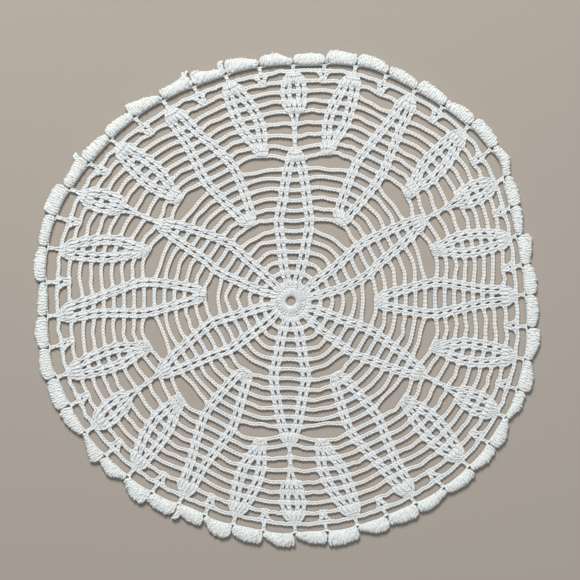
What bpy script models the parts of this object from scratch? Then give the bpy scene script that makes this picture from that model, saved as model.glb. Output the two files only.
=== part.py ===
"""Crocheted lace doily, about 40 cm across, lying flat.

It is one piece of cotton crochet worked in rounds: a ring and a solid disc in the middle,
twenty rounds of chain carried by thirty leaf-shaped petals, and an edging of forty-eight
shells. Metres, +Z up. The underside lies on z = 0, and the origin is below the middle of
the outline. The work is pulled out of round as it lies, which the SPOKES table holds.
"""
from math import cos, degrees, pi, radians, sin

import bmesh
import bpy
from mathutils import kdtree

MM = 0.001

# The net: rounds of chain, counted outward from the disc.
ROUNDS = 20
DISC_EDGE = 14.4 * MM            # where round 0 would be
ROUND_PITCH = 8.32 * MM
CHAIN_WIDTH = 2.8 * MM
CHAIN_BOW = 0.6 * MM             # how far a run of chain bulges outward between two petals
RING_RADIUS = 3.6 * MM           # the open ring in the middle
RING_SIDES = 12

# The edging: two shells to each petal tip, joined to the last round by short posts. One row
# for each shell, from +X round: how far its outer side lies from the last round near its
# start, in its middle and near its end, and how far its inner side does, in mm.
SHELLS = (
    (17.5, 18.0, 16.5, 6.0), (14.5, 17.0, 18.0, 5.0), (12.0, 14.0, 15.0, 4.5),
    (16.0, 16.0, 15.5, 4.5), (16.0, 20.5, 17.5, 10.0), (19.0, 19.0, 18.5, 7.0),
    (16.5, 16.5, 13.5, 4.5), (14.5, 16.0, 17.0, 4.5), (14.0, 15.5, 16.5, 5.5),
    (16.0, 18.0, 18.5, 7.0), (16.5, 17.5, 17.5, 5.5), (14.0, 15.0, 14.0, 3.5),
    (12.0, 16.5, 16.0, 5.5), (14.5, 18.0, 19.5, 6.5), (14.0, 15.5, 20.0, 6.0),
    (19.5, 17.0, 18.0, 7.0), (16.0, 19.0, 21.5, 8.0), (16.5, 18.0, 18.0, 7.5),
    (16.5, 17.5, 18.5, 6.5), (20.0, 18.0, 18.0, 7.5), (22.5, 23.0, 23.5, 9.5),
    (20.5, 20.0, 20.0, 10.5), (19.5, 20.5, 19.5, 9.5), (15.5, 16.0, 17.0, 7.0),
    (18.5, 21.0, 19.0, 8.5), (19.5, 21.0, 21.0, 9.5), (19.0, 20.5, 20.0, 7.5),
    (19.5, 18.5, 15.0, 7.0), (13.0, 17.0, 20.5, 7.5), (16.5, 19.5, 14.5, 7.0),
    (16.0, 21.0, 22.0, 8.0), (18.5, 20.0, 19.5, 7.5), (15.0, 17.5, 18.0, 5.5),
    (15.0, 21.5, 20.5, 8.0), (17.5, 20.0, 19.5, 7.0), (15.0, 19.5, 19.0, 7.5),
    (13.0, 16.5, 17.5, 5.5), (20.5, 20.0, 18.5, 7.0), (13.5, 18.0, 18.0, 6.0),
    (16.0, 17.5, 18.0, 5.5), (17.5, 17.5, 14.5, 7.0), (16.0, 17.5, 17.5, 7.0),
    (14.5, 17.5, 16.5, 7.0), (18.0, 17.0, 12.5, 5.5), (13.0, 16.5, 16.5, 7.0),
    (19.0, 19.0, 15.5, 6.5), (15.5, 19.0, 19.0, 7.0), (16.5, 18.5, 17.5, 7.0),
)
SHELL_START = 0.12               # the first of the three places, as a share of the shell
SHELL_END = 0.88                 # the last of them
SHELL_STEPS = 4                  # straight pieces in a shell's outer side between the two
SHELL_NOTCH = 1.5 * MM           # how far the notch between two shells cuts in
POST_WIDTH = 3.2 * MM

# Heights of the upper face above the table.
CHAIN_HEIGHT = 2.0 * MM
PETAL_HEIGHT = 2.8 * MM
DISC_HEIGHT = 3.0 * MM
SHELL_HEIGHT = 4.2 * MM
NOTCH_HEIGHT = 3.0 * MM

# The middle of the ring, off the middle of the outline.
CENTRE_X = 3.12 * MM
CENTRE_Y = -2.10 * MM

# The petals: kind, how many, angle of the first, round at the base, and the width in mm
# at that round and at each later one. A side petal leans towards the long one next to it.
PETALS = (
    ("long", 6, 30, 0, (12, 18, 21, 23.5, 26, 29, 30.5, 28, 25.5, 23.5, 21, 18.5, 14, 4)),
    ("middle", 6, 0, 6, (4, 16, 19.5, 23, 26, 29, 30.5, 29, 26, 23.5, 20.5, 18, 17, 16, 4)),
    ("side", 12, 15, 12, (5, 12, 17.5, 21.5, 22, 21, 19, 16, 4)),
    ("small", 6, 30, 13, (3.5, 3.5, 4, 11.5, 18, 20, 17.5, 4)),
)
SIDE_LEAN = 2.7                  # degrees at LEAN_ROUND, none at the last round
LEAN_ROUND = 13

# How far the rounds lie outside (+) or inside (-) even circles, as (round, mm), on the
# line of a middle petal, of a side petal and of a long petal.
MIDDLE_SHIFT = ((0, 0), (6, 3.4), (18, -2.9), (20, 0))
SIDE_SHIFT = ((0, 0), (5, 0.8), (11, 0.8), (12, 3.4), (13, 2.6), (20, 0))
LONG_SHIFT = ((0, 0), (13, -3.5), (16, 1.6), (20, 0))

# One row for each of the 24 spokes, every 15 degrees from +X: how many degrees it has
# turned at rounds 3, 7, 13 and 20, and how much it is stretched at rounds 6, 13 and 20.
SPOKES = (
    (-2.0, 0.5, 1.5, 1.5, 0.990, 0.985, 0.975),
    (-3.5, 1.0, 1.5, 1.0, 1.015, 1.005, 0.985),
    (-4.5, 1.0, 1.5, 0.0, 1.040, 1.035, 1.020),
    (-4.5, 0.0, 0.5, -0.5, 1.050, 1.055, 1.045),
    (-4.5, -1.0, -0.5, -0.5, 1.060, 1.055, 1.030),
    (-3.5, -1.5, -1.5, -0.5, 1.030, 1.025, 1.020),
    (-2.0, -2.5, -1.5, -0.5, 1.000, 1.000, 0.995),
    (-2.0, -2.0, -0.5, 1.0, 0.995, 0.990, 0.980),
    (-1.5, -2.0, -0.5, 2.5, 0.995, 0.995, 0.985),
    (-1.5, -2.5, 0.5, 3.0, 1.005, 1.005, 1.005),
    (-1.5, -3.5, -0.5, 3.0, 1.015, 1.015, 1.020),
    (-2.5, -4.0, -0.5, 2.5, 1.010, 1.015, 1.020),
    (-3.5, -4.0, -1.0, 3.5, 1.005, 1.005, 1.010),
    (-3.5, -4.0, 0.0, 3.0, 0.990, 1.000, 1.015),
    (-4.0, -3.5, -1.0, 2.5, 0.975, 0.995, 1.010),
    (-2.5, -3.0, 0.0, 2.0, 0.970, 0.980, 0.990),
    (-1.0, -2.5, -1.0, 1.0, 0.960, 0.965, 0.965),
    (-1.0, -2.0, 0.0, 0.5, 0.960, 0.950, 0.955),
    (-1.0, -1.0, -0.5, 1.0, 0.965, 0.945, 0.965),
    (0.5, 0.0, 0.5, 1.5, 0.980, 0.955, 0.975),
    (1.5, 1.5, 0.5, 1.5, 0.995, 0.985, 0.990),
    (0.0, 1.0, 1.0, 2.0, 1.010, 0.995, 1.010),
    (-2.0, 0.5, 1.0, 1.5, 1.030, 1.005, 1.015),
    (-2.0, 0.5, 0.5, 1.0, 1.010, 0.990, 1.000),
)
TURN_ROUNDS = (3, 7, 13, 20)
STRETCH_ROUNDS = (6, 13, 20)

# The openings that are cut: the wide gaps of these rows, a row being the space between a
# round and the one before it, and one long gap between two petal tips under the edging.
FIRST_CUT_ROW = 2
LAST_CUT_ROW = 19
CORNER = 1.3 * MM                # how far an opening's corners are cut back
BENT_GAP = 24 * MM               # a wider opening has a point in the middle of its sides
TIP_GAP_STEPS = 6                # straight pieces in each long side of such a gap


def between(knots, n):
    """The value at n of (place, value) knots, straight between them."""
    if n <= knots[0][0]:
        return knots[0][1]
    for (n0, low), (n1, high) in zip(knots, knots[1:]):
        if n <= n1:
            return low + (high - low) * (n - n0) / (n1 - n0)
    return knots[-1][1]


def eased(low, high, share):
    """A smooth step from low to high."""
    return low + (high - low) * (1 - cos(pi * share)) / 2


def spoke_value(angle, column):
    """A column of SPOKES at any angle, as a smooth curve through the spokes."""
    step = 360 / len(SPOKES)
    first = int(angle // step)
    t = angle / step - first
    a, b, c, d = (SPOKES[(first + k) % len(SPOKES)][column] for k in (-1, 0, 1, 2))
    return b + t / 2 * (c - a + t * (2 * a - 5 * b + 4 * c - d + t * (3 * b - a - 3 * c + d)))


def turned(angle, n):
    """Degrees by which the work is turned here."""
    return between([(r, spoke_value(angle, k)) for k, r in enumerate(TURN_ROUNDS)], n)


def stretched(angle, n):
    """Factor by which the work is stretched here."""
    columns = range(len(TURN_ROUNDS), len(TURN_ROUNDS) + len(STRETCH_ROUNDS))
    knots = [(r, spoke_value(angle, k)) for k, r in zip(columns, STRETCH_ROUNDS)]
    return between([(0, 1.0)] + knots, n)


def round_shift(angle, n):
    """How far round n lies outside its even circle at this angle."""
    fold = abs((angle + 30) % 60 - 30)
    side = between(SIDE_SHIFT, n)
    if fold < 15:
        return eased(between(MIDDLE_SHIFT, n), side, fold / 15) * MM
    return eased(side, between(LONG_SHIFT, n), (fold - 15) / 15) * MM


def round_radius(angle, n):
    return (DISC_EDGE + ROUND_PITCH * n + round_shift(angle, n)) * stretched(angle, n)


def place(angle, n, out=0.0):
    """The point at an angle of the pattern, in degrees, on round n, moved out from it."""
    radius = round_radius(angle, n) + out
    real = radians(angle + turned(angle, n))
    return CENTRE_X + radius * cos(real), CENTRE_Y + radius * sin(real)


def petal_side(petal, n, side):
    """The angle of a petal's side at round n: side is -1 for the first, 1 for the last."""
    kind, angle, base, widths = petal
    width = between([(base + k, w * MM) for k, w in enumerate(widths)], n)
    middle = angle
    if kind == "side":
        towards_long = 1 if angle % 60 < 30 else -1
        middle += towards_long * SIDE_LEAN * (ROUNDS - n) / (ROUNDS - LEAN_ROUND)
    return middle + side * degrees(width / 2 / round_radius(middle, n))


def petals_in_row(row):
    """The petals that cross the row before this round, in order of angle."""
    found = []
    for kind, count, first, base, widths in PETALS:
        if base < row < base + len(widths):
            found += [(kind, first + k * 360 / count, base, widths) for k in range(count)]
    return sorted(found, key=lambda petal: petal[1])


def gap_outline(row, left, right):
    """One opening between two petals and two rounds, with its corners cut back."""
    width = radians(petal_side(right, row - 0.5, -1) - petal_side(left, row - 0.5, 1))
    width *= round_radius(left[1], row - 0.5)
    cut = CORNER / width
    inner = [(cut, 0), (1 - cut, 0)]
    outer = [(1 - cut, 1), (cut, 1)]
    if width > BENT_GAP:
        inner.insert(1, (0.5, 0))
        outer.insert(1, (0.5, 1))
    points = []
    for across, up in inner + [(1, 0.5)] + outer + [(0, 0.5)]:
        n = row - 1 + up
        start = petal_side(left, n, 1)
        end = petal_side(right, n, -1)
        bow = CHAIN_BOW * 4 * across * (1 - across)
        x, y = place(start + (end - start) * across, n, CHAIN_WIDTH / 2 * (1 - 2 * up) + bow)
        height = PETAL_HEIGHT if up == 0.5 else CHAIN_HEIGHT
        points.append((x, y, height))
    return points


def net_gaps():
    """The openings between the petals, row by row."""
    gaps = []
    for row in range(FIRST_CUT_ROW, LAST_CUT_ROW + 1):
        petals = petals_in_row(row)
        turn = [(kind, angle + 360, base, widths) for kind, angle, base, widths in petals[:1]]
        for left, right in zip(petals, petals[1:] + turn):
            gaps.append(gap_outline(row, left, right))
    return gaps


def shell_inside(angle):
    """How far the shells' inner side lies from the last round, smoothed from shell to shell."""
    at = angle / 360 * len(SHELLS) - 0.5
    first = int(at // 1)
    start, end = (SHELLS[(first + k) % len(SHELLS)][3] for k in (0, 1))
    return eased(start, end, at - first) * MM


def tip_gaps():
    """One opening between each two petal tips, between the last round and the shells."""
    tips = len(SHELLS) // 2
    gaps = []
    for k in range(tips):
        first = k * 360 / tips
        post = degrees(POST_WIDTH / 2 / round_radius(first, ROUNDS))
        span = 360 / tips - 2 * post
        inner = []
        outer = []
        for step in range(TIP_GAP_STEPS + 1):
            angle = first + post + span * step / TIP_GAP_STEPS
            inner.append((*place(angle, ROUNDS, CHAIN_WIDTH / 2), CHAIN_HEIGHT))
            outer.append((*place(angle, ROUNDS, shell_inside(angle)), SHELL_HEIGHT))
        gaps.append(inner + outer[::-1])
    return gaps


def ring_hole():
    """The open ring in the middle of the disc."""
    points = []
    for k in range(RING_SIDES):
        a = 2 * pi * k / RING_SIDES
        x = CENTRE_X + RING_RADIUS * cos(a)
        y = CENTRE_Y + RING_RADIUS * sin(a)
        points.append((x, y, DISC_HEIGHT))
    return points


def edge_outline():
    """The outer side of the edging, shell by shell, with a notch before each one."""
    points = []
    for k, (start, middle, end, _) in enumerate(SHELLS):
        first = k * 360 / len(SHELLS)
        notch = min(start, SHELLS[k - 1][2]) * MM - SHELL_NOTCH
        points.append((*place(first, ROUNDS, notch), NOTCH_HEIGHT))
        side = ((SHELL_START, start), (0.5, middle), (SHELL_END, end))
        for step in range(SHELL_STEPS + 1):
            share = SHELL_START + (SHELL_END - SHELL_START) * step / SHELL_STEPS
            angle = first + share * 360 / len(SHELLS)
            points.append((*place(angle, ROUNDS, between(side, share) * MM), SHELL_HEIGHT))
    return points


def add_loop(curve, points, level):
    """Add one closed straight-sided loop to a 2D curve."""
    spline = curve.splines.new("POLY")
    spline.points.add(len(points) - 1)
    for point, (x, y, _) in zip(spline.points, points):
        point.co = (x, y, level, 1)
    spline.use_cyclic_u = True


def raise_upper_face(mesh, loops):
    """Lift each point of the upper face to its own height, and lay the lower face on z = 0."""
    points = [point for loop in loops for point in loop]
    tree = kdtree.KDTree(len(points))
    for index, (x, y, _) in enumerate(points):
        tree.insert((x, y, 0), index)
    tree.balance()
    for vert in mesh.verts:
        if vert.co.z < 0:
            vert.co.z = 0
            continue
        _, index, _ = tree.find((vert.co.x, vert.co.y, 0))
        vert.co.z = points[index][2]


def even_triangles(mesh):
    """Turn the edges inside the two flat faces so that their triangles are not slivers."""
    flat = [face for face in mesh.faces if abs(face.normal.z) > 0.99]
    flat_set = set(flat)
    inside = [edge for edge in mesh.edges if all(face in flat_set for face in edge.link_faces)]
    bmesh.ops.beautify_fill(mesh, faces=flat, edges=inside)


def cotton():
    """Natural white cotton thread."""
    material = bpy.data.materials.new("cotton")
    material.use_nodes = True
    shader = material.node_tree.nodes["Principled BSDF"]
    shader.inputs["Base Color"].default_value = (0.83, 0.80, 0.72, 1)
    shader.inputs["Roughness"].default_value = 0.9
    shader.inputs["Metallic"].default_value = 0
    return material


def make_doily(collection):
    """The whole doily: a flat outline with its openings, its upper face raised by zone."""
    loops = [edge_outline(), ring_hole()] + net_gaps() + tip_gaps()
    curve = bpy.data.curves.new("doily_outline", "CURVE")
    curve.dimensions = "2D"
    curve.fill_mode = "BOTH"
    curve.extrude = CHAIN_HEIGHT / 2
    for loop in loops:
        add_loop(curve, loop, 0)
    outline = bpy.data.objects.new("doily_outline", curve)
    collection.objects.link(outline)
    bpy.context.view_layer.update()
    evaluated = outline.evaluated_get(bpy.context.evaluated_depsgraph_get())
    data = bpy.data.meshes.new_from_object(evaluated)

    mesh = bmesh.new()
    mesh.from_mesh(data)
    bmesh.ops.remove_doubles(mesh, verts=mesh.verts, dist=0.00001)
    bmesh.ops.triangulate(mesh, faces=mesh.faces)
    even_triangles(mesh)
    raise_upper_face(mesh, loops)
    bmesh.ops.recalc_face_normals(mesh, faces=mesh.faces)
    mesh.to_mesh(data)
    mesh.free()

    doily = bpy.data.objects.new("doily", data)
    doily.matrix_world = outline.matrix_world
    data.materials.clear()
    data.materials.append(cotton())
    collection.objects.link(doily)
    bpy.data.objects.remove(outline)
    return doily


def main():
    for thing in list(bpy.data.objects):
        bpy.data.objects.remove(thing)
    collection = bpy.data.collections.new("lace_doily")
    bpy.context.scene.collection.children.link(collection)
    make_doily(collection)


main()
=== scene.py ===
"""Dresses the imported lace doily: every stitch of the crochet as yarn, in place of the solid.

The net is twenty rounds of chain, in runs from one petal to the next. Between two rounds stand
the tall stitches of the petals. The edging is forty-eight shells of stitches over a cord.
Metres, +Z up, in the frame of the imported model.
"""
from math import cos, degrees, pi, radians, sin

import bpy
import numpy as np
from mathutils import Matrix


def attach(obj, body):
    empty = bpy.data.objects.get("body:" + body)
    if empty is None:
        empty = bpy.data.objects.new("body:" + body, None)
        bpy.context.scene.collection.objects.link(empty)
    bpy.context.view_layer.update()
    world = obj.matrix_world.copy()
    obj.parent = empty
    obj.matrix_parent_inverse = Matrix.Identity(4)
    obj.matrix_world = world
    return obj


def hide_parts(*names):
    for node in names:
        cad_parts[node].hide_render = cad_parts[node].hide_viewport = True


MM = 0.001

# --- The layout, the same as the solid's -------------------------------------------------
ROUNDS = 20
DISC_EDGE = 14.4 * MM
ROUND_PITCH = 8.32 * MM
CHAIN_BOW = 0.6 * MM
RING_RADIUS = 3.6 * MM
CENTRE_X = 3.12 * MM
CENTRE_Y = -2.10 * MM
REPEAT = 60                      # degrees: the pattern of petals comes six times round

# The petals: kind, how many, angle of the first, round at the base, and the width in mm at
# that round and at each later one. A vee is the small stitch between two petal tips.
PETALS = (
    ("long", 6, 30, 0, (12, 18, 21, 23.5, 26, 29, 30.5, 28, 25.5, 23.5, 21, 18.5, 14, 4)),
    ("middle", 6, 0, 6, (4, 16, 19.5, 23, 26, 29, 30.5, 29, 26, 23.5, 20.5, 18, 17, 16, 4)),
    ("side", 12, 15, 12, (5, 12, 17.5, 21.5, 22, 21, 19, 16, 4)),
    ("small", 6, 30, 13, (3.5, 3.5, 4, 11.5, 18, 20, 17.5, 4)),
    ("vee", 24, 7.5, 19, (2.6, 9)),
)
SIDE_LEAN = 2.7                  # degrees at LEAN_ROUND, none at the last round
LEAN_ROUND = 13

# How far the rounds lie outside (+) or inside (-) even circles, as (round, mm), on the
# line of a middle petal, of a side petal and of a long petal.
MIDDLE_SHIFT = ((0, 0), (6, 3.4), (18, -2.9), (20, 0))
SIDE_SHIFT = ((0, 0), (5, 0.8), (11, 0.8), (12, 3.4), (13, 2.6), (20, 0))
LONG_SHIFT = ((0, 0), (13, -3.5), (16, 1.6), (20, 0))

# One row for each of the 24 spokes, every 15 degrees from +X: how many degrees it has
# turned at rounds 3, 7, 13 and 20, and how much it is stretched at rounds 6, 13 and 20.
SPOKES = (
    (-2.0, 0.5, 1.5, 1.5, 0.990, 0.985, 0.975),
    (-3.5, 1.0, 1.5, 1.0, 1.015, 1.005, 0.985),
    (-4.5, 1.0, 1.5, 0.0, 1.040, 1.035, 1.020),
    (-4.5, 0.0, 0.5, -0.5, 1.050, 1.055, 1.045),
    (-4.5, -1.0, -0.5, -0.5, 1.060, 1.055, 1.030),
    (-3.5, -1.5, -1.5, -0.5, 1.030, 1.025, 1.020),
    (-2.0, -2.5, -1.5, -0.5, 1.000, 1.000, 0.995),
    (-2.0, -2.0, -0.5, 1.0, 0.995, 0.990, 0.980),
    (-1.5, -2.0, -0.5, 2.5, 0.995, 0.995, 0.985),
    (-1.5, -2.5, 0.5, 3.0, 1.005, 1.005, 1.005),
    (-1.5, -3.5, -0.5, 3.0, 1.015, 1.015, 1.020),
    (-2.5, -4.0, -0.5, 2.5, 1.010, 1.015, 1.020),
    (-3.5, -4.0, -1.0, 3.5, 1.005, 1.005, 1.010),
    (-3.5, -4.0, 0.0, 3.0, 0.990, 1.000, 1.015),
    (-4.0, -3.5, -1.0, 2.5, 0.975, 0.995, 1.010),
    (-2.5, -3.0, 0.0, 2.0, 0.970, 0.980, 0.990),
    (-1.0, -2.5, -1.0, 1.0, 0.960, 0.965, 0.965),
    (-1.0, -2.0, 0.0, 0.5, 0.960, 0.950, 0.955),
    (-1.0, -1.0, -0.5, 1.0, 0.965, 0.945, 0.965),
    (0.5, 0.0, 0.5, 1.5, 0.980, 0.955, 0.975),
    (1.5, 1.5, 0.5, 1.5, 0.995, 0.985, 0.990),
    (0.0, 1.0, 1.0, 2.0, 1.010, 0.995, 1.010),
    (-2.0, 0.5, 1.0, 1.5, 1.030, 1.005, 1.015),
    (-2.0, 0.5, 0.5, 1.0, 1.010, 0.990, 1.000),
)
TURN_ROUNDS = (3, 7, 13, 20)
STRETCH_ROUNDS = (6, 13, 20)

# One row for each shell, from +X round: how far its outer side lies from the last round near
# its start, in its middle and near its end, and how far its inner side does, in mm.
SHELLS = (
    (17.5, 18.0, 16.5, 6.0), (14.5, 17.0, 18.0, 5.0), (12.0, 14.0, 15.0, 4.5),
    (16.0, 16.0, 15.5, 4.5), (16.0, 20.5, 17.5, 10.0), (19.0, 19.0, 18.5, 7.0),
    (16.5, 16.5, 13.5, 4.5), (14.5, 16.0, 17.0, 4.5), (14.0, 15.5, 16.5, 5.5),
    (16.0, 18.0, 18.5, 7.0), (16.5, 17.5, 17.5, 5.5), (14.0, 15.0, 14.0, 3.5),
    (12.0, 16.5, 16.0, 5.5), (14.5, 18.0, 19.5, 6.5), (14.0, 15.5, 20.0, 6.0),
    (19.5, 17.0, 18.0, 7.0), (16.0, 19.0, 21.5, 8.0), (16.5, 18.0, 18.0, 7.5),
    (16.5, 17.5, 18.5, 6.5), (20.0, 18.0, 18.0, 7.5), (22.5, 23.0, 23.5, 9.5),
    (20.5, 20.0, 20.0, 10.5), (19.5, 20.5, 19.5, 9.5), (15.5, 16.0, 17.0, 7.0),
    (18.5, 21.0, 19.0, 8.5), (19.5, 21.0, 21.0, 9.5), (19.0, 20.5, 20.0, 7.5),
    (19.5, 18.5, 15.0, 7.0), (13.0, 17.0, 20.5, 7.5), (16.5, 19.5, 14.5, 7.0),
    (16.0, 21.0, 22.0, 8.0), (18.5, 20.0, 19.5, 7.5), (15.0, 17.5, 18.0, 5.5),
    (15.0, 21.5, 20.5, 8.0), (17.5, 20.0, 19.5, 7.0), (15.0, 19.5, 19.0, 7.5),
    (13.0, 16.5, 17.5, 5.5), (20.5, 20.0, 18.5, 7.0), (13.5, 18.0, 18.0, 6.0),
    (16.0, 17.5, 18.0, 5.5), (17.5, 17.5, 14.5, 7.0), (16.0, 17.5, 17.5, 7.0),
    (14.5, 17.5, 16.5, 7.0), (18.0, 17.0, 12.5, 5.5), (13.0, 16.5, 16.5, 7.0),
    (19.0, 19.0, 15.5, 6.5), (15.5, 19.0, 19.0, 7.0), (16.5, 18.5, 17.5, 7.0),
)
SHELL_START = 0.12               # the places near its start and its end, as shares of its length
SHELL_END = 0.88


def between(knots, n):
    """The value at n of (place, value) knots, straight between them."""
    if n <= knots[0][0]:
        return knots[0][1]
    for (n0, low), (n1, high) in zip(knots, knots[1:]):
        if n <= n1:
            return low + (high - low) * (n - n0) / (n1 - n0)
    return knots[-1][1]


def eased(low, high, share):
    """A smooth step from low to high."""
    return low + (high - low) * (1 - cos(pi * share)) / 2


def spoke_value(angle, column):
    """A column of SPOKES at any angle, as a smooth curve through the spokes."""
    step = 360 / len(SPOKES)
    first = int(angle // step)
    t = angle / step - first
    a, b, c, d = (SPOKES[(first + k) % len(SPOKES)][column] for k in (-1, 0, 1, 2))
    return b + t / 2 * (c - a + t * (2 * a - 5 * b + 4 * c - d + t * (3 * b - a - 3 * c + d)))


def turned(angle, n):
    """Degrees by which the work is turned here."""
    return between([(r, spoke_value(angle, k)) for k, r in enumerate(TURN_ROUNDS)], n)


def stretched(angle, n):
    """Factor by which the work is stretched here."""
    columns = range(len(TURN_ROUNDS), len(TURN_ROUNDS) + len(STRETCH_ROUNDS))
    knots = [(r, spoke_value(angle, k)) for k, r in zip(columns, STRETCH_ROUNDS)]
    return between([(0, 1.0)] + knots, n)


def round_shift(angle, n):
    """How far round n lies outside its even circle at this angle."""
    fold = abs((angle + REPEAT / 2) % REPEAT - REPEAT / 2)
    to_side = REPEAT / 4
    side = between(SIDE_SHIFT, n)
    if fold < to_side:
        return eased(between(MIDDLE_SHIFT, n), side, fold / to_side) * MM
    return eased(side, between(LONG_SHIFT, n), (fold - to_side) / to_side) * MM


def round_radius(angle, n):
    """How far round n lies from the middle of the ring."""
    return (DISC_EDGE + ROUND_PITCH * n + round_shift(angle, n)) * stretched(angle, n)


def place(angle, n, out=0.0):
    """The point at an angle of the pattern, in degrees, on round n, moved out from it."""
    radius = round_radius(angle, n) + out
    real = radians(angle + turned(angle, n))
    return CENTRE_X + radius * cos(real), CENTRE_Y + radius * sin(real)


def petal_middle(petal, n):
    """The angle of a petal's middle line at round n."""
    kind, angle, _, _ = petal
    if kind != "side":
        return angle
    towards_long = 1 if angle % REPEAT < REPEAT / 2 else -1
    return angle + towards_long * SIDE_LEAN * (ROUNDS - n) / (ROUNDS - LEAN_ROUND)


def petal_width(petal, n):
    _, _, base, widths = petal
    return widths[n - base] * MM


def shell_inside(angle):
    """How far the shells' inner side lies from the last round, smoothed from shell to shell."""
    at = angle / 360 * len(SHELLS) - 0.5
    first = int(at // 1)
    start, end = (SHELLS[(first + k) % len(SHELLS)][3] for k in (0, 1))
    return eased(start, end, at - first) * MM


def shell_outside(k, share):
    """How far the outer side of shell k lies from the last round, at a share of its length."""
    start, middle, end, _ = SHELLS[k % len(SHELLS)]
    side = ((SHELL_START, start), (0.5, middle), (SHELL_END, end))
    return between(side, share) * MM


# --- Strands -----------------------------------------------------------------------------
SIDES = 5                        # corners of a strand's section
NOT_ZERO = 1e-9                  # keeps a direction's length off zero


def unit(vectors):
    """The vectors at length 1."""
    return vectors / np.linalg.norm(vectors, axis=-1, keepdims=True)


def section_rings(path, radius, shift=None):
    """Rings of SIDES points round a path, for an open strand, or for one whose end goes on to
    its start moved by shift. Also how far along the strand each ring is."""
    path = np.array(path, float)
    looped = shift is not None
    before = np.roll(path, 1, 0)
    after = np.roll(path, -1, 0)
    if looped:
        before[0] -= shift
        after[-1] += shift
    else:
        before[0] = path[0]
        after[-1] = path[-1]
    ahead = unit(after - before)
    side = np.zeros_like(path)
    side[0] = unit(np.cross(ahead[0], (0.0, 0.0, 1.0)) + NOT_ZERO)
    for k in range(1, len(path)):
        side[k] = unit(side[k - 1] - side[k - 1].dot(ahead[k]) * ahead[k])
    up = np.cross(ahead, side)
    turn = np.zeros(len(path))
    if looped:
        back = unit(side[-1] - side[-1].dot(ahead[0]) * ahead[0])
        miss = np.arctan2(back.dot(up[0]), back.dot(side[0]))
        turn = -miss * np.arange(len(path)) / len(path)
    corner = 2 * pi * np.arange(SIDES) / SIDES
    angle = corner[None, :] + turn[:, None]
    round_it = np.cos(angle)[..., None] * side[:, None] + np.sin(angle)[..., None] * up[:, None]
    steps = np.linalg.norm(np.diff(path, axis=0), axis=1)
    length = np.concatenate([[0.0], np.cumsum(steps)])
    return path[:, None] + radius * round_it, length


class Yarn:
    """Gathers strands into one mesh. Each point keeps its place round and along its strand."""

    def __init__(self):
        self.points = []
        self.marks = []
        self.quads = []
        self.caps = []
        self.count = 0

    def add(self, rings, along, closed=False):
        """Add strands: rings is (strands, rings, corners, 3), along their length at each ring."""
        strands, number, sides, _ = rings.shape
        index = self.count + np.arange(strands * number * sides).reshape(rings.shape[:3])
        near = index if closed else index[:, :-1]
        far = np.roll(index, -1, 1) if closed else index[:, 1:]
        quads = np.stack([near, np.roll(near, -1, 2), np.roll(far, -1, 2), far], -1)
        self.quads.append(quads.reshape(-1, 4))
        if not closed:
            self.caps += [index[:, 0, ::-1], index[:, -1]]
        corner = 2 * pi * np.arange(sides) / sides
        marks = np.empty(rings.shape)
        marks[..., 0] = np.cos(corner)
        marks[..., 1] = np.sin(corner)
        marks[..., 2] = np.broadcast_to(along, rings.shape[:2])[..., None]
        self.points.append(rings.reshape(-1, 3))
        self.marks.append(marks.reshape(-1, 3))
        self.count += index.size

    def piece(self, name, material):
        """Make the mesh object."""
        points = np.concatenate(self.points)
        points[:, 2] = np.maximum(points[:, 2], 0)     # yarn is pressed flat on the table
        faces = [np.concatenate(self.quads)] + self.caps
        corners = np.concatenate([face.ravel() for face in faces]).astype(np.int32)
        mesh = bpy.data.meshes.new(name)
        mesh.vertices.add(len(points))
        mesh.vertices.foreach_set("co", points.astype(np.float32).ravel())
        mesh.loops.add(len(corners))
        mesh.loops.foreach_set("vertex_index", corners)
        totals = np.concatenate([np.full(len(face), face.shape[1]) for face in faces])
        starts = np.concatenate([[0], np.cumsum(totals)[:-1]])
        mesh.polygons.add(len(totals))
        mesh.polygons.foreach_set("loop_start", starts.astype(np.int32))
        mesh.polygons.foreach_set("loop_total", totals.astype(np.int32))
        mesh.polygons.foreach_set("use_smooth", np.ones(len(totals), bool))
        mesh.update(calc_edges=True)
        marks = mesh.attributes.new("strand", "FLOAT_VECTOR", "POINT")
        marks.data.foreach_set("vector", np.concatenate(self.marks).astype(np.float32).ravel())
        mesh.materials.append(material)
        thing = bpy.data.objects.new(name, mesh)
        bpy.context.scene.collection.objects.link(thing)
        return thing


# --- Chains ------------------------------------------------------------------------------
CHAIN_LENGTH = 2.7 * MM          # one loop of chain
CHAIN_SPREAD = 0.92 * MM         # from the middle of a chain to the middle of a strand
CHAIN_RISE = 0.55 * MM
CHAIN_YARN = 0.84 * MM           # radius, as of every yarn here
CHAIN_LEVEL = 1.32 * MM          # height of the middle of a chain over the table
PETAL_LIFT = 0.05 * MM           # how much higher it runs on a petal
# One loop of chain, drawn up through the one before it. Each row is a point of the yarn's
# middle line: how far along (1 is the start of the next loop), and how far across and up,
# as shares of CHAIN_SPREAD and CHAIN_RISE.
CHAIN_LOOP = (
    (0.06, -0.24, -0.35),
    (0.30, -0.56, 0.52),
    (0.70, -1.00, 0.72),
    (1.10, -0.90, 0.15),
    (1.36, 0.00, -0.60),
    (1.10, 0.90, 0.15),
    (0.70, 1.00, 0.72),
    (0.30, 0.56, 0.52),
    (0.06, 0.24, -0.35),
    (0.60, 0.10, -1.00),
)
NODES_ADDED = 2                  # past each end of a chain, for its first and last loops
ROOT_WIDTH = 1.25                # a chain's width where it joins a petal, times its own
HEAD_WIDTH = 1.2                 # and the stitches' heads on a petal

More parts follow.
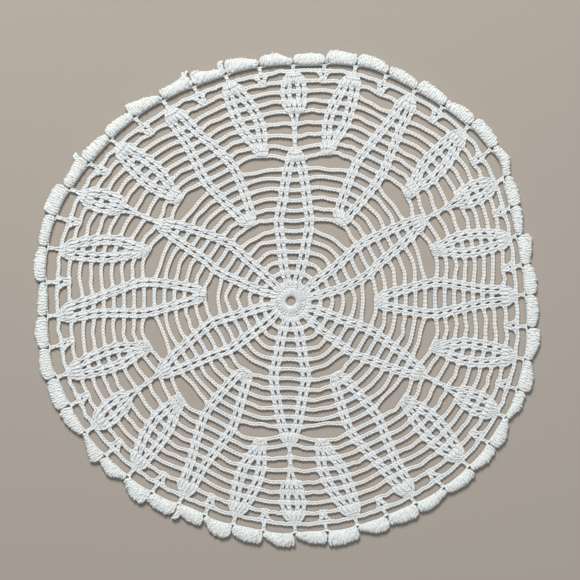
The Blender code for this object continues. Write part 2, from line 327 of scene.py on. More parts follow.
CHAIN_WANDER = 0.85 * MM         # the most that a chain swings off its curve
LEAST_WANDER = 0.1               # the least, as a share of that
CHAIN_SWAYS = (0.4, 1.8)         # how often it swings to and fro in its length
STRAIGHT_GAP = 8 * MM            # a chain over a gap as short as this is straight
SLACK_ROUNDS = (5, 11)           # the long chains just inside the bases of petals hang inwards
SLACK_BOW = -1.7 * MM
# Chains that are pulled out of line: the round, the angle of their middle, and mm outwards.
PULLED = ((5, 60, -1.4), (4, 60, -1.2), (11, 195, -1.6), (12, 187, 1.0), (11, 225, -1.4),
          (10, 225, -0.8), (11, 285, -1.2), (18, 68, -2.2), (15, 53, -1.0), (11, 45, -1.2))
PULLED_WITHIN = 7                # degrees
TIPS_MEET = 1                    # degrees: petals closer than this on a round meet there

DC_WIDTH = 3.45 * MM             # room that a tall stitch takes
RIB_STITCHES = 4                 # a row of two ribs, with two stitches in each
RIB_SPREAD = 0.35 * MM           # how far each of a rib's two columns stands off its middle
# How much further in the inner column of a rib stands, by kind of petal.
RIB_CLOSING = {"long": 0, "middle": 0, "side": 0.7 * MM, "small": 0.8 * MM}
SINGLE_WIDTH = 5 * MM            # a row that stays narrower than this has one stitch,
PAIR_WIDTH = 12 * MM             # and one that stays narrower than this, two
FAN_STITCHES = 5                 # in a row that closes a petal, from less than PAIR_WIDTH
FAN_WIDTH = 18.5 * MM            # to less than this


def chain_template():
    """One loop of chain, of unit length, and how far along its yarn each ring is."""
    path = np.array(CHAIN_LOOP) * (CHAIN_LENGTH, CHAIN_SPREAD, CHAIN_RISE)
    rings, along = section_rings(path, CHAIN_YARN, shift=np.array((CHAIN_LENGTH, 0, 0)))
    rings[..., 0] /= CHAIN_LENGTH
    return rings, along


def lay_chain(yarn, template, nodes):
    """Lay a chain on a line. A node is x, y, z and width, and two loops meet there."""
    rings, along = template
    nodes = np.array(nodes, float)
    loops, number = len(nodes) - 1, len(rings)
    step0 = (nodes[0] - nodes[1]) * (1, 1, 1, 0)
    step1 = (nodes[-1] - nodes[-2]) * (1, 1, 1, 0)
    line = np.concatenate([
        [nodes[0] + step0 * k for k in range(NODES_ADDED, 0, -1)], nodes,
        [nodes[-1] + step1 * k for k in range(1, NODES_ADDED + 1)],
    ])
    place_on = np.arange(len(line)) - NODES_ADDED
    ahead = unit(np.gradient(line[:, :3], axis=0)[:, :2])
    grid = np.tile(rings, (loops, 1, 1))
    at = grid[..., 0] + np.repeat(np.arange(loops), number)[:, None]
    laid = np.empty(grid.shape)
    dx, dy = (np.interp(at, place_on, ahead[:, k]) for k in (0, 1))
    x, y, z, width = (np.interp(at, place_on, line[:, k]) for k in range(4))
    across = grid[..., 1] * width / np.sqrt(dx * dx + dy * dy)
    laid[..., 0] = x - dy * across
    laid[..., 1] = y + dx * across
    laid[..., 2] = z + grid[..., 2]
    step = along[-1] * (1 + 1 / number)
    lengths = np.tile(along, loops) + np.repeat(np.arange(loops), number) * step
    yarn.add(laid[None], lengths[None])


def stitches_in_row(petal, n):
    """How many tall stitches a petal has in the row below round n."""
    if n == petal[2]:
        return 0
    low, high = sorted((petal_width(petal, n - 1), petal_width(petal, n)))
    if high < SINGLE_WIDTH:
        return 1
    if high < PAIR_WIDTH:
        return 2
    return FAN_STITCHES if low < PAIR_WIDTH and high < FAN_WIDTH else RIB_STITCHES


def full_ribs(petal, n):
    """Whether a petal has its two ribs of two columns at round n."""
    is_fan = stitches_in_row(petal, n) == FAN_STITCHES
    return not is_fan and petal_width(petal, n) >= RIB_STITCHES * DC_WIDTH


def petal_edge(petal, n):
    """Half of a petal's width at round n, as degrees."""
    spread = RIB_SPREAD if full_ribs(petal, n) else 0
    reach = petal_width(petal, n) / 2 + spread
    return degrees(reach / round_radius(petal_middle(petal, n), n))


def loops_on_petal(petal, n):
    """The lengths of the loops of chain that cross a petal at round n, as shares."""
    width = petal_width(petal, n)
    if full_ribs(petal, n):
        outer_loop = DC_WIDTH + RIB_SPREAD
        inner_loop = outer_loop + RIB_CLOSING[petal[0]]
        inside = width + 2 * RIB_SPREAD - 2 * outer_loop - 2 * inner_loop
        ladder = round(inside / CHAIN_LENGTH)
        loops = [outer_loop, inner_loop, *[inside / max(1, ladder)] * ladder,
                 inner_loop, outer_loop]
    elif width < SINGLE_WIDTH:
        loops = [1]
    elif width < PAIR_WIDTH:
        loops = [1] * 2
    else:
        loops = [1] * max(RIB_STITCHES, stitches_in_row(petal, n))
    return [loop / sum(loops) for loop in loops]


def petal_chain(petal, n):
    """Where the loops meet that cross a petal at round n, from edge to edge."""
    edge = petal_edge(petal, n)
    at = petal_middle(petal, n) - edge
    loops = loops_on_petal(petal, n)
    nodes = [(*place(at, n), CHAIN_LEVEL + PETAL_LIFT / 2, HEAD_WIDTH)]
    for k, share in enumerate(loops, 1):
        at += 2 * edge * share
        on_rib = k <= 2 or k >= len(loops) - 2
        lift = PETAL_LIFT if k < len(loops) else PETAL_LIFT / 2
        nodes.append((*place(at, n), CHAIN_LEVEL + lift, HEAD_WIDTH if on_rib else 1.0))
    return nodes


def petals_on_round(n):
    """The petals that touch this round, in order of angle, one where two meet."""
    found = []
    for kind, count, first, base, widths in PETALS:
        if base <= n < base + len(widths):
            found += [(kind, first + k * 360 / count, base, widths) for k in range(count)]
    found.sort(key=lambda petal: petal_middle(petal, n))
    kept = []
    for petal in found:
        if kept and petal_middle(petal, n) - petal_middle(kept[-1], n) < TIPS_MEET:
            if petal_width(petal, n) > petal_width(kept[-1], n):
                kept[-1] = petal
        else:
            kept.append(petal)
    return kept


def net_chains(n, chance):
    """The chains of round n from each petal to the next, as lists of nodes."""
    petals = petals_on_round(n)
    chains = []
    for petal, following in zip(petals, petals[1:] + petals[:1]):
        start = petal_middle(petal, n) + petal_edge(petal, n)
        end = petal_middle(following, n) - petal_edge(following, n)
        if end < start:
            end += 360
        gap = radians(end - start) * round_radius((start + end) / 2, n)
        loops = max(1, round(gap / CHAIN_LENGTH))
        phase, sway = chance.uniform(0, 1), chance.uniform(*CHAIN_SWAYS)
        wander = CHAIN_WANDER * chance.uniform(LEAST_WANDER, 1)
        middle = (start + end) / 2 % 360
        bow = SLACK_BOW if n in SLACK_ROUNDS else CHAIN_BOW
        bow += sum(pull * MM for at_round, angle, pull in PULLED
                   if at_round == n and abs(middle - angle) < PULLED_WITHIN)
        nodes = []
        for k in range(loops + 1):
            share = k / loops
            hump = 4 * share * (1 - share)
            swing = wander * sin(2 * pi * (share * sway + phase)) * min(1, hump)
            out = bow * hump + swing if gap > STRAIGHT_GAP else 0
            root = max(0.0, 1 - min(k, loops - k))
            nodes.append((*place(start + (end - start) * share, n, out),
                          CHAIN_LEVEL + PETAL_LIFT / 2 * root, 1 + (ROOT_WIDTH - 1) * root))
        chains.append(nodes)
    return chains


# --- Tall stitches -----------------------------------------------------------------------
POST_YARN = 0.76 * MM
POST_LEVEL = 1.46 * MM
POST_SPREAD = 1.0 * MM           # from a tall stitch's middle to each of its two strands
POST_RISE = 0.70 * MM
POST_LEAN = 0.30 * MM
POST_TILTS = (-0.12 * MM, 0.05 * MM, 0.18 * MM)  # how far one leg is raised, the other lowered
POST_JITTER = 0.12 * MM          # how uneven the places of feet and heads are
LEVEL_JITTER = 0.07 * MM         # their level
SWELL_JITTER = 0.05              # and the stitches' widths, as a share
# One leg of a tall stitch, from its foot over the round below to its top under the round
# above: how far along (1 is the round above), and how far across and up, as shares of
# POST_SPREAD and POST_RISE.
POST_LEG = (
    (-0.20, 0.80, -0.60),
    (-0.09, 1.25, 0.65),
    (0.08, 1.22, 1.05),
    (0.26, 0.98, 0.65),
    (0.50, 0.66, 0.10),
    (0.74, 1.05, 0.30),
    (0.97, 1.22, 0.15),
    (1.10, 0.75, -0.90),
)
CORE_YARN = 0.92 * MM            # the yarn inside a tall stitch, under its legs
CORE_DROP = 0.22 * MM
CORE_PLACES = (-0.12, 0.3, 0.7, 1.08)  # how far along, from its start to its end
WRAP_YARN = 0.54 * MM            # the yarn that is wrapped over the legs
WRAP_STEPS = 6
WRAP_REACH = 1.02 * MM
WRAP_RISE = 1.02 * MM
WRAP_FROM = -40                  # degrees round the stitch at which it starts
WRAP_TURN = 260                  # and how far it turns
WRAP_START = 0.42                # how far along it starts
WRAP_CLIMB = 0.24                # and how far it climbs

STITCH_WIDTH = 1.05              # a stitch's width in a rib, times its template's
CLOSING_FILL = 0.6               # how much of a rib's closing its stitches' width takes up
ROW_FILL = 1.12                  # width of a stitch in a plain row, as a share of its room
FAN_FILL = 1.3                   # and in a fan
FILL_LIMITS = (0.6, 1.2)         # the least and the most that it is, times its template's
DOME_LIFT = 0.40 * MM            # how far a petal's closed ends stand up in the middle
DOME_BOW = 0.75 * MM             # and how far each of their stitches bends out to the side
VEE_REACH = 3.5 * MM             # from a vee's middle to the head of each of its stitches
VEE_FOOT = 0.7 * MM              # and to the foot of each
VEE_START = 1.3 * MM             # how far outside the chain its feet stand
VEE_WIDTH = 1.12                 # its stitches' width, times their template's


def post_template(tilt):
    """A tall stitch of unit length: two legs, one higher than the other, the wrap and the core."""
    strands = []
    for side in (-1, 1):
        path = np.array(POST_LEG) * (ROUND_PITCH, side * POST_SPREAD, POST_RISE)
        path[:, 2] += side * tilt
        strands.append(section_rings(path, POST_YARN))
    path = []
    for k in range(WRAP_STEPS + 1):
        t = k / WRAP_STEPS
        turn = radians(WRAP_FROM + WRAP_TURN * t)
        along = ROUND_PITCH * (WRAP_START + WRAP_CLIMB * t)
        path.append((along, -WRAP_REACH * cos(turn), WRAP_RISE * sin(turn)))
    strands.append(section_rings(path, WRAP_YARN))
    path = [(ROUND_PITCH * share, 0.0, -CORE_DROP) for share in CORE_PLACES]
    strands.append(section_rings(path, CORE_YARN))
    for rings, _ in strands:
        rings[..., 0] /= ROUND_PITCH
    return strands


def stitch_places(petal, n, count):
    """The angles of a row's stitches at round n, and their share of a full width there."""
    width = petal_width(petal, n)
    share = STITCH_WIDTH
    if petal[0] == "vee":
        reach = VEE_REACH if n == ROUNDS else VEE_FOOT
        offsets = [-reach, reach]
        share = VEE_WIDTH
    elif count == RIB_STITCHES and width >= RIB_STITCHES * DC_WIDTH:
        middle_of_rib = width / 2 - DC_WIDTH
        half = DC_WIDTH / 2 + RIB_SPREAD
        closing = RIB_CLOSING[petal[0]]
        outer, inner = middle_of_rib + half, middle_of_rib - half - closing
        offsets = [-outer, -inner, inner, outer]
        share += CLOSING_FILL * closing / DC_WIDTH
    else:
        offsets = [(k + 0.5) * width / count - width / 2 for k in range(count)]
        fill = FAN_FILL if count == FAN_STITCHES else ROW_FILL
        least, most = FILL_LIMITS
        share = min(most, max(least, width / count / DC_WIDTH * fill))
    middle = petal_middle(petal, n)
    radius = round_radius(middle, n)
    return [middle + degrees(offset / radius) for offset in offsets], share


def petal_rows(petal):
    """Every tall stitch of a petal: foot x, y, head x, y, its width at both, lift and bow."""
    _, _, base, widths = petal
    found = []
    for n in range(base + 1, base + len(widths)):
        count = stitches_in_row(petal, n)
        feet, low = stitch_places(petal, n - 1, count)
        heads, high = stitch_places(petal, n, count)
        start = VEE_START if petal[0] == "vee" else 0
        for k, (foot, head) in enumerate(zip(feet, heads)):
            lift = DOME_LIFT * (1 - abs(k - 2) / 3) if count == FAN_STITCHES else 0
            bow = DOME_BOW * (k - 2) if count == FAN_STITCHES else 0
            found.append((*place(foot, n - 1, start), *place(head, n), low, high, lift, bow))
    return found


def lay_posts(yarn, templates, stitches, chance):
    """Stand tall stitches, as petal_rows lists them, each in one of a few twists."""
    stitches = np.array(stitches, float)
    stitches[:, :4] += chance.normal(0, POST_JITTER, (len(stitches), 4))
    kinds = chance.integers(0, len(templates), len(stitches))
    uneven = chance.normal(0, LEVEL_JITTER, len(stitches))[:, None, None]
    swell = chance.normal(1, SWELL_JITTER, len(stitches))[:, None, None]
    for kind, template in enumerate(templates):
        mine = kinds == kind
        foot, head = stitches[mine, 0:2], stitches[mine, 2:4]
        low, high, lift, bow = stitches[mine, 4:].T[..., None, None]
        along = head - foot
        across = unit(np.stack([-along[:, 1], along[:, 0]], -1))
        foot = foot - POST_LEAN * across
        along = along + 2 * POST_LEAN * across
        for rings, lengths in template:
            x, y, z = np.moveaxis(rings, -1, 0)
            aside = y * (low * (1 - x) + high * x) * swell[mine] + bow * 4 * x * (1 - x)
            laid = np.empty((len(foot), *rings.shape))
            for axis in (0, 1):
                laid[..., axis] = foot[:, axis, None, None] + along[:, axis, None, None] * x
                laid[..., axis] += across[:, axis, None, None] * aside
            laid[..., 2] = POST_LEVEL + lift + uneven[mine] + z
            yarn.add(laid, lengths[None])


# --- The disc ----------------------------------------------------------------------------
DISC_STITCHES = 24
DISC_FOOT = 4.2 * MM             # from the ring to their feet
DISC_WIDTHS = (0.8, 1.2)         # at their feet and at their heads, times their template's
RIM_LOOPS = 48
RIM_STEPS = 10
RIM_YARN = 0.50 * MM
RIM_INSIDE = RING_RADIUS + 0.8 * RIM_YARN  # where its loops turn back, from the ring's middle
RIM_REACH = (6.2 * MM, 7.4 * MM)  # how far its loops run out, one and the next
RIM_LEVEL = 1.5 * MM
RIM_RISE = 1.15 * MM


def disc_stitches():
    """The tall stitches of the disc, as petal_rows lists a petal's."""
    found = []
    foot = RING_RADIUS + DISC_FOOT
    for k in range(DISC_STITCHES):
        angle = k * 360 / DISC_STITCHES
        real = radians(angle)
        found.append((CENTRE_X + foot * cos(real), CENTRE_Y + foot * sin(real),
                      *place(angle, 0), *DISC_WIDTHS, 0, 0))
    return found


def bundle(paths, side, radius, corners=SIDES):
    """Rings round many closed strands at once: paths is (strands, points, 3)."""
    ahead = unit(np.roll(paths, -1, 1) - np.roll(paths, 1, 1))
    side = side[:, None]
    side = unit(side - (side * ahead).sum(-1, keepdims=True) * ahead)
    up = np.cross(ahead, side)
    corner = 2 * pi * np.arange(corners) / corners
    round_it = np.cos(corner)[:, None] * side[:, :, None] + np.sin(corner)[:, None] * up[:, :, None]
    steps = np.linalg.norm(np.diff(paths, axis=1), axis=-1)
    lengths = np.concatenate([np.zeros((len(paths), 1)), np.cumsum(steps, 1)], 1)
    return paths[:, :, None] + radius * round_it, lengths


def rim_loops():
    """The stitches' loops round the ring in the middle: closed paths, and their sideways."""
    paths, sides = [], []
    for k in range(RIM_LOOPS):
        real = 2 * pi * k / RIM_LOOPS
        outside = RING_RADIUS + RIM_REACH[k % len(RIM_REACH)]
        path = []
        for step in range(RIM_STEPS):
            turn = 2 * pi * step / RIM_STEPS
            radius = RIM_INSIDE + (outside - RIM_INSIDE) * (0.5 - 0.5 * cos(turn))
            path.append((CENTRE_X + radius * cos(real), CENTRE_Y + radius * sin(real),
                         RIM_LEVEL + RIM_RISE * sin(turn)))
        paths.append(path)
        sides.append((-sin(real), cos(real), 0))
    return np.array(paths), np.array(sides)


# --- The edging --------------------------------------------------------------------------
SHELL_LEVEL = 2.1 * MM           # of the middle of a shell
SHELL_RIDGES = 12                # stitches in a shell
SHELL_REACH = 0.485              # how far a shell runs each way from its middle, as a share
SHELL_UNEVEN = 0.25 * MM         # how uneven the outer ends of its stitches are, about
SHELL_CORNER = 0.36              # from here its outer side rounds off
CORNER_DROP = 3.4 * MM           # how far it does,
CORNER_INSET = 0.8 * MM          # how much further out its inner side lies at its end,
CORNER_SLIMMING = 0.45           # and how much lower it is there, as a share
RIDGE_YARN = 1.02 * MM
RIDGE_SIDES = 4
RIDGE_SPREAD = 0.42 * MM         # from a shell stitch's middle to each of its two strands
RIDGE_RISE = 1.30 * MM           # of its middle line, over SHELL_LEVEL
RIDGE_UNDER = 0.78 * MM          # and below it
RIDGE_TURNS = (1.5, 2.5, 3.5)    # times that they turn round each other over the top
RIDGE_SLANT = 0.80 * MM          # how far a stitch slants and how uneven it is, about
RIDGE_UNEVEN = 0.24 * MM
RIDGE_BARREL = 0.11              # how much closer to its neighbours it is at its ends
# Where the yarn of a shell's stitch is sampled, in degrees: over the top, and back below.
RIDGE_STEPS = (*range(0, 181, 15), 240, 300)
# Stitches that stand out of a joint: shell, share of its length, distance from round 20 in mm.
NUBS = ((13, 1.10, 20.0), (14, 1.14, 22.0), (16, 0.97, 22.0), (18, 1.09, 23.0), (31, 1.13, 20.5))
NUB_HALF = 0.035                 # from the middle of a nub to each of its two stitches
NUB_INSET = 2 * MM               # how far out from the shells' inner side a nub starts
NUB_HEIGHT = 0.7                 # its height, as a share of a shell's
PAD_INSET = 0.6 * MM             # how far the edge of a shell's body lies inside the shell's
PAD_PROUD = 0.90 * MM            # how far it stands over the stitches' middle line
PAD_REACH = 0.44                 # how far it runs each way from a shell's middle, as a share
PAD_STEPS = 7
PAD_SIDES = 8
CORD_LEVEL = 1.7 * MM
CORD_STEPS = 8                   # in each shell
CORD_YARN = 0.9 * MM
CORD_INSET = 1.3 * MM            # how far out from the shells' inner side the cord runs,
CORD_DIP = 1.2 * MM              # how much further in it dips at a joint,
CORD_DIP_WITHIN = 0.15           # and how near to the joint, as a share of a shell
JOINT_FOOT = 0.6 * MM            # from round 20 out to the foot of a joint's post
JOINT_HEAD = 0.4 * MM            # and from the shells' inner side out to its head
JOINT_WIDTHS = (1.0, 0.85)       # at both, times its template's


def shell_angle(k, share):
    """The angle at a share of the length of shell k."""
    return (k + share) * 360 / len(SHELLS)


def shell_stitch(k, off, inner, outer, puff, chance):
    """Two closed strands turned round each other, from the inner side over to the outer one,
    and their sideways. off is how far the stitch stands from the shell's middle, as a share of
    its length, and puff is its height as a share of a full one."""
    half = RIDGE_SPREAD + RIDGE_YARN
    angle_middle = shell_angle(k, 0.5 + off)
    arc = np.radians(RIDGE_STEPS)
    reach = 0.5 - 0.5 * np.cos(arc)
    out = inner + half + (outer - inner - 2 * half) * reach
    height = puff * np.where(arc <= pi, RIDGE_RISE, RIDGE_UNDER) * np.sin(arc)
    d_out, d_height = np.gradient(out), np.gradient(height)
    slope = np.hypot(d_out, d_height)
    d_out, d_height = d_out / slope, d_height / slope
    turns = chance.choice(RIDGE_TURNS)
    turn = chance.uniform(0, 2 * pi) + 2 * turns * np.minimum(arc, pi) + np.maximum(0, arc - pi)
    slant = chance.normal(0, RIDGE_SLANT) * (reach - 0.5)
    barrel = 1 - RIDGE_BARREL * np.abs(2 * reach - 1) ** 3
    strands = []
    for side in (-1, 1):
        lift = side * RIDGE_SPREAD * np.sin(turn) + chance.normal(0, RIDGE_UNEVEN, len(arc))
        over = side * RIDGE_SPREAD * np.cos(turn) + chance.normal(0, RIDGE_UNEVEN, len(arc))
        over += slant
        path = []
        for step, narrow in enumerate(barrel):
            radius = round_radius(angle_middle, ROUNDS) + out[step]
            angle = shell_angle(k, 0.5 + off * narrow) + degrees(over[step] / radius)
            away = out[step] - lift[step] * d_height[step]
            level = SHELL_LEVEL + height[step] + lift[step] * d_out[step]
            level = max(level, RIDGE_YARN)
            path.append((*place(angle, ROUNDS, away), level))
        strands.append(path)
    real = radians(angle_middle + turned(angle_middle, ROUNDS))
    return strands, (-sin(real), cos(real), 0)


def shell_stitches(chance):
    """The strands of all shells and nubs, as closed paths, and their sideways."""
    paths, sides = [], []

    def put(*stitch):
        strands, side = shell_stitch(*stitch)
        paths.extend(strands)
        sides.extend([side] * 2)

    for k in range(len(SHELLS)):
        for ridge in range(SHELL_RIDGES):
            off = SHELL_REACH * (2 * (ridge + 0.5) / SHELL_RIDGES - 1)
            corner = max(0.0, (abs(off) - SHELL_CORNER) / (0.5 - SHELL_CORNER))
            outer = shell_outside(k, 0.5 + off) + chance.normal(0, SHELL_UNEVEN)
            outer -= CORNER_DROP * (1 - (1 - corner ** 2) ** 0.5)
            inner = shell_inside(shell_angle(k, 0.5 + off)) + CORNER_INSET * corner
            put(k, off, inner, outer, 1 - CORNER_SLIMMING * corner ** 2, chance)
    for k, share, out in NUBS:
        inner = shell_inside(shell_angle(k, share)) + NUB_INSET
        for aside in (-NUB_HALF, NUB_HALF):
            put(k, share + aside - 0.5, inner, out * MM, NUB_HEIGHT, chance)
    return np.array(paths), np.array(sides)


def shell_pads():
    """The body of each shell, which shows between its stitches."""
    pads = []
    for k in range(len(SHELLS)):
        pad = []
        for step in range(PAD_STEPS):
            off = PAD_REACH * (2 * step / (PAD_STEPS - 1) - 1)
            angle = shell_angle(k, 0.5 + off)
            fullness = (1 - (off / 0.5) ** 4) ** 0.5
            inner = shell_inside(angle) + PAD_INSET
            outer = shell_outside(k, 0.5 + off) - PAD_INSET
            middle, half = (inner + outer) / 2, (outer - inner) / 2 * fullness
            ring = []
            for corner in range(PAD_SIDES):
                turn = 2 * pi * (corner + 0.5) / PAD_SIDES
                rise = (RIDGE_RISE + PAD_PROUD) * fullness * sin(turn)
                ring.append((*place(angle, ROUNDS, middle + half * cos(turn)), SHELL_LEVEL + rise))
            pad.append(ring)
        pads.append(pad)
    return np.array(pads)


def cord_path():
    """The cord that the shells are worked over, dipping to each joint: a path, and sideways."""
    path = []
    for k in range(len(SHELLS)):
        for step in range(CORD_STEPS):
            share = step / CORD_STEPS
            angle = shell_angle(k, share)
            dip = max(0.0, 1 - min(share, 1 - share) / CORD_DIP_WITHIN) * CORD_DIP
            path.append((*place(angle, ROUNDS, shell_inside(angle) + CORD_INSET - dip), CORD_LEVEL))
    return np.array([path]), np.array([(0.0, 0.0, 1.0)])


def joint_posts():
    """The short posts from the last round to the shells' joints, as petal_rows lists stitches."""
    found = []
    for k in range(len(SHELLS)):
        angle = shell_angle(k, 0)
        head = shell_inside(angle) + JOINT_HEAD
        found.append((*place(angle, ROUNDS, JOINT_FOOT), *place(angle, ROUNDS, head),
                      *JOINT_WIDTHS, 0, 0))
    return found


# --- Cotton ------------------------------------------------------------------------------
COTTON_FINISH = (("Roughness", 0.9), ("Specular IOR Level", 0.25), ("Sheen Weight", 0.25),
                 ("Sheen Roughness", 0.5))
DRIFT_DETAIL = 4
DRIFT_ROUGHNESS = 0.7
DRIFT_RANGE = (0.35, 0.62)       # of the noise, from the shade to the light colour
PLIES = 3
PLY_LENGTH = 1.1 * MM            # from one ply to the next along a strand
PLY_DEPTH = 0.25                 # as a share of the fibres'
FIBRE_SCALE = 2500
FIBRE_DETAIL = 2
BUMP_STRENGTH = 0.5
BUMP_DISTANCE = 0.15 * MM


def cotton(name, light, shade, scale):
    """Soft twisted cotton: a colour that drifts at random between two, plies, and fine fibres. The
    drift is partly the yarn's own uneven tone and partly painted light, from a painted shade colour to
    a painted highlight colour.
    """
    material = bpy.data.materials.new(name)
    material.use_nodes = True
    nodes, links = material.node_tree.nodes, material.node_tree.links
    shader = nodes["Principled BSDF"]
    for socket, value in COTTON_FINISH:
        shader.inputs[socket].default_value = value

    def maths(operation, *terms):
        """The output of a math node. A term is a number or another node's output."""
        node = nodes.new("ShaderNodeMath")
        node.operation = operation
        for socket, term in zip(node.inputs, terms):
            if isinstance(term, bpy.types.NodeSocket):
                links.new(term, socket)
            else:
                socket.default_value = term
        return node.outputs[0]

    where = nodes.new("ShaderNodeTexCoord")
    drift = nodes.new("ShaderNodeTexNoise")
    drift.inputs["Scale"].default_value = scale
    drift.inputs["Detail"].default_value = DRIFT_DETAIL
    drift.inputs["Roughness"].default_value = DRIFT_ROUGHNESS
    links.new(where.outputs["Object"], drift.inputs["Vector"])
    # Painted light: the ramp mixes a painted shade colour and a painted highlight colour by the noise
    ramp = nodes.new("ShaderNodeValToRGB")
    for element, position, colour in zip(ramp.color_ramp.elements, DRIFT_RANGE, (shade, light)):
        element.position = position
        element.color = (*colour, 1)
    links.new(drift.outputs["Fac"], ramp.inputs["Fac"])
    links.new(ramp.outputs["Color"], shader.inputs["Base Color"])

    mark = nodes.new("ShaderNodeAttribute")
    mark.attribute_name = "strand"
    split = nodes.new("ShaderNodeSeparateXYZ")
    links.new(mark.outputs["Vector"], split.inputs["Vector"])
    turn = maths("ARCTAN2", split.outputs["Y"], split.outputs["X"])
    plies = maths("MULTIPLY", turn, PLIES)
    run = maths("MULTIPLY_ADD", split.outputs["Z"], 2 * pi / PLY_LENGTH, plies)
    wave = maths("SINE", run)

    fibres = nodes.new("ShaderNodeTexNoise")
    fibres.inputs["Scale"].default_value = FIBRE_SCALE
    fibres.inputs["Detail"].default_value = FIBRE_DETAIL
    links.new(where.outputs["Object"], fibres.inputs["Vector"])
    height = maths("MULTIPLY_ADD", wave, PLY_DEPTH, fibres.outputs["Fac"])
    bump = nodes.new("ShaderNodeBump")
    bump.inputs["Strength"].default_value = BUMP_STRENGTH
    bump.inputs["Distance"].default_value = BUMP_DISTANCE
    links.new(height, bump.inputs["Height"])
    links.new(bump.outputs["Normal"], shader.inputs["Normal"])
    return material


# --- The pieces --------------------------------------------------------------------------
SEED = 7

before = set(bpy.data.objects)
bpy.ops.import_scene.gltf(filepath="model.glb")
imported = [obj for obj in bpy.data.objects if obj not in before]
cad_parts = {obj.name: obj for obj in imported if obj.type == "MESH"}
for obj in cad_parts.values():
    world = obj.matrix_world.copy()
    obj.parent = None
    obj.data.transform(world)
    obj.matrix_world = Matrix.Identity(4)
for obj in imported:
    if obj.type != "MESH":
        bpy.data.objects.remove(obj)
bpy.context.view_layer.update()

chance = np.random.default_rng(SEED)
chain_loop = chain_template()
posts = [post_template(tilt) for tilt in POST_TILTS]

# One cotton in three tints that paint light. The chains' warm cream shade colour is painted light
# bounced from the floor. The cool bluish white of the petals and shells is painted sky reflection, and
# the petals' darker shade colour is painted self-shadow. The shells' large drifting patches are
# painted shade in their folds. In each tint the drift is partly the yarn's own uneven tone.
chain_cotton_painted_light = cotton("chain_cotton_painted_light", light=(0.87, 0.88, 0.875), shade=(0.80, 0.775, 0.715), scale=380)
petal_cotton_painted_light = cotton("petal_cotton_painted_light", light=(0.86, 0.89, 0.89), shade=(0.73, 0.76, 0.77), scale=380)
shell_cotton_painted_light = cotton("shell_cotton_painted_light", light=(0.84, 0.89, 0.895), shade=(0.79, 0.81, 0.78), scale=160)

pieces = []
for name, first, last in (("inner_chains", 1, 13), ("outer_chains", 14, 19)):
    yarn = Yarn()
    for n in range(first, last + 1):
        for nodes in net_chains(n, chance):
            lay_chain(yarn, chain_loop, nodes)
    pieces.append(yarn.piece(name, chain_cotton_painted_light))

yarn = Yarn()
lay_posts(yarn, posts, disc_stitches(), chance)
for nodes in net_chains(0, chance):
    lay_chain(yarn, chain_loop, nodes)
paths, sides = rim_loops()
yarn.add(*bundle(paths, sides, RIM_YARN), closed=True)
pieces.append(yarn.piece("centre", petal_cotton_painted_light))

for name, kinds in (("long_petals", ("long",)), ("middle_petals", ("middle",)),
                    ("side_petals", ("side",)), ("small_petals", ("small", "vee"))):
    yarn = Yarn()
    stitches = []
    for kind, number, first, base, widths in PETALS:
        for k in range(number if kind in kinds else 0):
            petal = (kind, first + k * 360 / number, base, widths)
            stitches += petal_rows(petal)
            for n in range(base, base + len(widths)):
                if petal in petals_on_round(n):
                    lay_chain(yarn, chain_loop, petal_chain(petal, n))
    lay_posts(yarn, posts, stitches, chance)
    pieces.append(yarn.piece(name, petal_cotton_painted_light))

yarn = Yarn()
paths, sides = shell_stitches(chance)
yarn.add(*bundle(paths, sides, RIDGE_YARN, RIDGE_SIDES), closed=True)
yarn.add(shell_pads(), np.zeros((1, PAD_STEPS)))
paths, sides = cord_path()
yarn.add(*bundle(paths, sides, CORD_YARN), closed=True)
for nodes in net_chains(ROUNDS, chance):
    lay_chain(yarn, chain_loop, nodes)
lay_posts(yarn, posts, joint_posts(), chance)
edging = yarn.piece("edging", shell_cotton_painted_light)

for piece in pieces + [edging]:
    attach(piece, "root")
    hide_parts("doily")

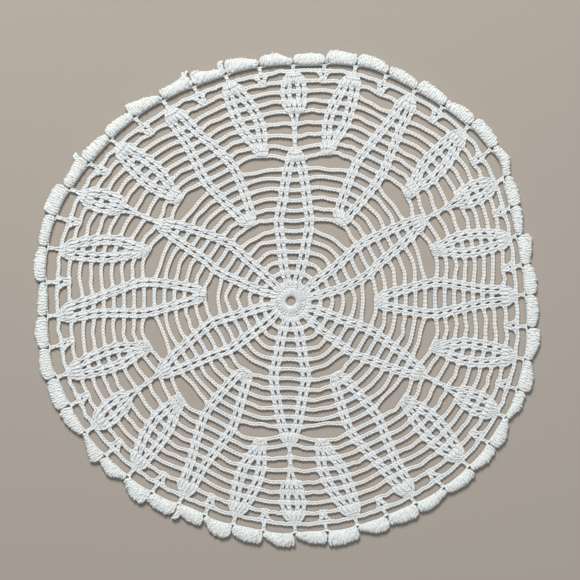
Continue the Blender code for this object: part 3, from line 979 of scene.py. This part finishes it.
# --- Floor, lights and camera ------------------------------------------------------------
FLOOR_SIZE = 20                  # metres
FLOOR_COLOUR = (0.43, 0.385, 0.335, 1)
FLOOR_ROUGHNESS = 0.8
SKY_COLOUR = (0.92, 0.95, 1.0, 1)
SKY_STRENGTH = 0.20

bpy.ops.mesh.primitive_plane_add(size=FLOOR_SIZE)
floor = bpy.context.object
floor.name = "floor"
paint = bpy.data.materials.new("floor")
paint.use_nodes = True
shader = paint.node_tree.nodes["Principled BSDF"]
shader.inputs["Base Color"].default_value = FLOOR_COLOUR
shader.inputs["Roughness"].default_value = FLOOR_ROUGHNESS
floor.data.materials.append(paint)


def area_light(name, place_at, size, power, colour):
    """A round lamp that faces the doily's middle."""
    light = bpy.data.lights.new(name, "AREA")
    light.shape = "DISK"
    light.size = size
    light.energy = power
    light.color = colour
    lamp = bpy.data.objects.new(name, light)
    lamp.location = place_at
    away = -lamp.location.normalized()
    lamp.rotation_euler = away.to_track_quat("-Z", "Y").to_euler()
    bpy.context.scene.collection.objects.link(lamp)


area_light("window", place_at=(-0.45, 1.9, 1.9), size=1.1, power=72, colour=(1.0, 0.98, 0.95))
area_light("room", place_at=(0.8, -0.9, 1.6), size=1.6, power=5.4, colour=(0.90, 0.95, 1.0))

bpy.context.scene.view_settings.view_transform = "Standard"
world = bpy.data.worlds.new("world")
bpy.context.scene.world = world
world.use_nodes = True
sky = world.node_tree.nodes["Background"]
sky.inputs["Color"].default_value = SKY_COLOUR
sky.inputs["Strength"].default_value = SKY_STRENGTH

# The camera looks straight down, with the doily a little left of the frame's middle and below it.
PIXEL = 0.785 * MM               # of the frame, on the table
FRAME_PIXELS = 580
CAMERA_X = 3.0 * PIXEL
CAMERA_Y = 8.5 * PIXEL
CAMERA_HEIGHT = 1.2
SENSOR_WIDTH = 36                # in mm, as a lens is
camera_data = bpy.data.cameras.new("camera")
camera_data.sensor_width = SENSOR_WIDTH
camera_data.lens = SENSOR_WIDTH * CAMERA_HEIGHT / (FRAME_PIXELS * PIXEL)
camera = bpy.data.objects.new("camera", camera_data)
camera.location = (CAMERA_X, CAMERA_Y, CAMERA_HEIGHT)
bpy.context.scene.collection.objects.link(camera)
bpy.context.scene.camera = camera
